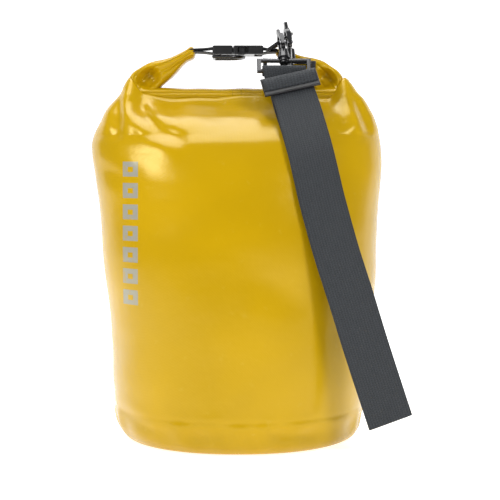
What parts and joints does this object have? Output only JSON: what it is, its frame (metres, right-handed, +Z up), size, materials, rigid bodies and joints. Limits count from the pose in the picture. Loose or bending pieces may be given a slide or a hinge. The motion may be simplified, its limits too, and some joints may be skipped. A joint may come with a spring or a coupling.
{
  "type": "roll-top dry bag",
  "caption": "Round welded dry bag with a rolled mouth, side-release buckle handle, D-rings and a doubled shoulder strap on swivel snap hooks.",
  "frame": {"origin": "centre of the round base, on the surface it stands on", "axes": "+Z up, -Y the front, +X towards the side where the shoulder strap hangs"},
  "size_m": [0.2736, 0.224, 0.3685],
  "materials": {
    "tarpaulin": "glossy yellow coated tarpaulin",
    "webbing": "dark grey ribbed webbing",
    "buckle_plastic": "moulded black nylon",
    "ring_metal": "gloss black coating",
    "hook_metal": "gloss black coating",
    "steel": "bright steel",
    "strip_plastic": "flexible black strip"
  },
  "bodies": {
    "bag": {"body_wall": "tarpaulin", "base_panel": "tarpaulin", "rolled_collar": "tarpaulin", "stiffener_front": "strip_plastic", "stiffener_back": "strip_plastic", "right_roll_end": "tarpaulin", "socket_webbing": "webbing", "buckle_socket": "buckle_plastic"},
    "plug": {"buckle_plug": "buckle_plastic", "plug_webbing": "webbing", "left_roll_end": "tarpaulin"},
    "prong_front": {"plug_prong_front": "buckle_plastic"},
    "prong_back": {"plug_prong_back": "buckle_plastic"},
    "left_ring": {"left_d_ring": "ring_metal"},
    "right_ring": {"right_d_ring": "ring_metal"},
    "strap": {"shoulder_strap": "webbing", "front_swivel_eye": "hook_metal", "back_swivel_eye": "hook_metal"},
    "front_hook": {"front_hook_body": "hook_metal", "front_gate_pin": "steel", "front_gate_spring": "steel"},
    "front_gate": {"front_gate": "hook_metal"},
    "back_hook": {"back_hook_body": "hook_metal", "back_gate_pin": "steel", "back_gate_spring": "steel"},
    "back_gate": {"back_gate": "hook_metal"},
    "slider": {"strap_slider": "buckle_plastic", "slider_webbing": "webbing"}
  },
  "joints": [
    {"name": "buckle_release", "type": "slide", "parent": "bag", "child": "plug", "axis": [-1, 0, 0], "range_m": [0, 0.024], "deforming": ["plug_prong_front", "plug_prong_back"]},
    {"name": "prong_squeeze", "type": "hinge", "parent": "plug", "child": "prong_front", "pos_m": [-0.0036, -0.0116, 0.3435], "axis": [0, 0, 1], "range_deg": [0, 8], "stiffness_Nm_per_rad": 0.05},
    {"name": "prong_squeeze_back", "type": "hinge", "parent": "plug", "child": "prong_back", "pos_m": [-0.0036, 0.0116, 0.3435], "axis": [0, 0, -1], "range_deg": [0, 8], "stiffness_Nm_per_rad": 0.05},
    {"name": "left_ring_swing", "type": "hinge", "parent": "plug", "child": "left_ring", "pos_m": [-0.0205, 0, 0.3376], "axis": [0, 1, 0], "range_deg": [0, 70]},
    {"name": "right_ring_swing", "type": "hinge", "parent": "bag", "child": "right_ring", "pos_m": [0.0272, 0, 0.3435], "axis": [0, -1, 0], "range_deg": [0, 15]},
    {"name": "strap_sway", "type": "hinge", "parent": "right_ring", "child": "strap", "pos_m": [0.0385, -0.01459, 0.35155], "axis": [0, -1, 0], "range_deg": [0, 15]},
    {"name": "front_hook_swivel", "type": "hinge", "parent": "strap", "child": "front_hook", "pos_m": [0.041, -0.0294, 0.333], "axis": [0, 0.6239, 0.7815], "range_deg": [-1, 6]},
    {"name": "front_gate_hinge", "type": "hinge", "parent": "front_hook", "child": "front_gate", "pos_m": [0.04013, -0.0249, 0.35002], "axis": [-0.9781, -0.1297, -0.1625], "range_deg": [0, 11], "stiffness_Nm_per_rad": 0.02},
    {"name": "back_hook_swivel", "type": "hinge", "parent": "strap", "child": "back_hook", "pos_m": [0.04642, -0.01435, 0.33322], "axis": [0.029, 0.1449, 0.989], "range_deg": [-2, 6]},
    {"name": "back_gate_hinge", "type": "hinge", "parent": "back_hook", "child": "back_gate", "pos_m": [0.04678, -0.01909, 0.35019], "axis": [-0.9781, -0.1297, -0.1625], "range_deg": [0, 11], "stiffness_Nm_per_rad": 0.02},
    {"name": "slider_travel", "type": "slide", "parent": "strap", "child": "slider", "axis": [0.2113, -0.6074, -0.7658], "range_m": [0, 0.035]}
  ],
  "couplings": [
    {"joint": "prong_squeeze_back", "follows": "prong_squeeze", "ratio": 1}
  ]
}
